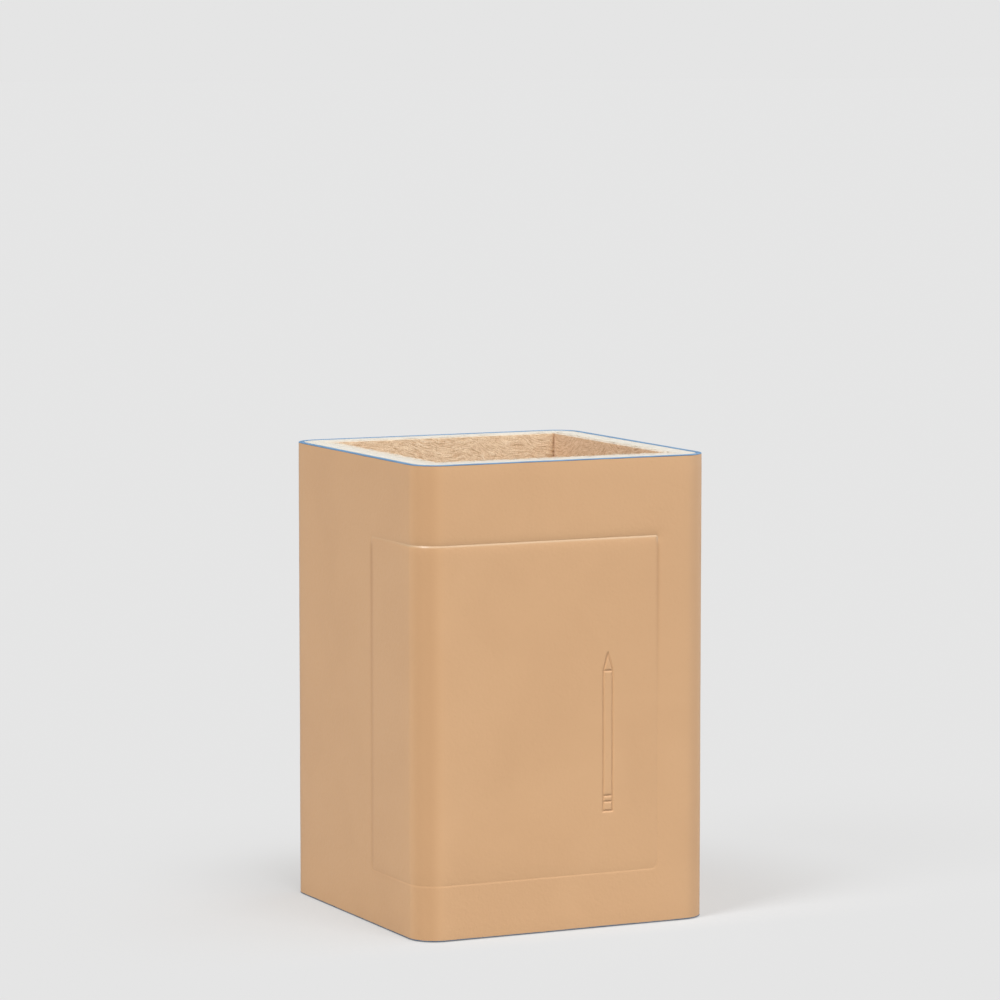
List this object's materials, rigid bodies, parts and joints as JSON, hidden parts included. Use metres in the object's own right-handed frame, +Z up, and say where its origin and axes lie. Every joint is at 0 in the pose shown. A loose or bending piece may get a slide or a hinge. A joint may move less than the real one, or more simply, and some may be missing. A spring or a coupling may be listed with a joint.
{
  "type": "pen holder cup",
  "caption": "Square desk pen holder: mitred fibre boards wrapped in smooth tan leather, suede lined, blue painted edges, one open top.",
  "frame": {"origin": "centre of the underside, on the surface it stands on", "axes": "+Z up to the open mouth; -Y is the front face, and the pressed panel outline runs round the upright edge at -X, -Y onto the -X face"},
  "size_m": [0.075, 0.075, 0.11],
  "materials": {
    "cover_leather": "smooth natural tan leather, fine grain, satin",
    "edge_paint": "blue edge paint, satin, slightly domed",
    "core_board": "cream fibre board, cut edge, matt",
    "lining_suede": "tan suede with a raised fibrous nap",
    "base_suede": "short-napped tan suede, matt"
  },
  "bodies": {
    "root": {"leather_cover": "cover_leather", "top_edge_paint": "edge_paint", "bottom_edge_paint": "edge_paint", "front_board": "core_board", "back_board": "core_board", "left_board": "core_board", "right_board": "core_board", "base_board": "core_board", "front_lining": "lining_suede", "back_lining": "lining_suede", "left_lining": "lining_suede", "right_lining": "lining_suede", "floor_lining": "lining_suede", "base_pad": "base_suede"}
  },
  "joints": []
}
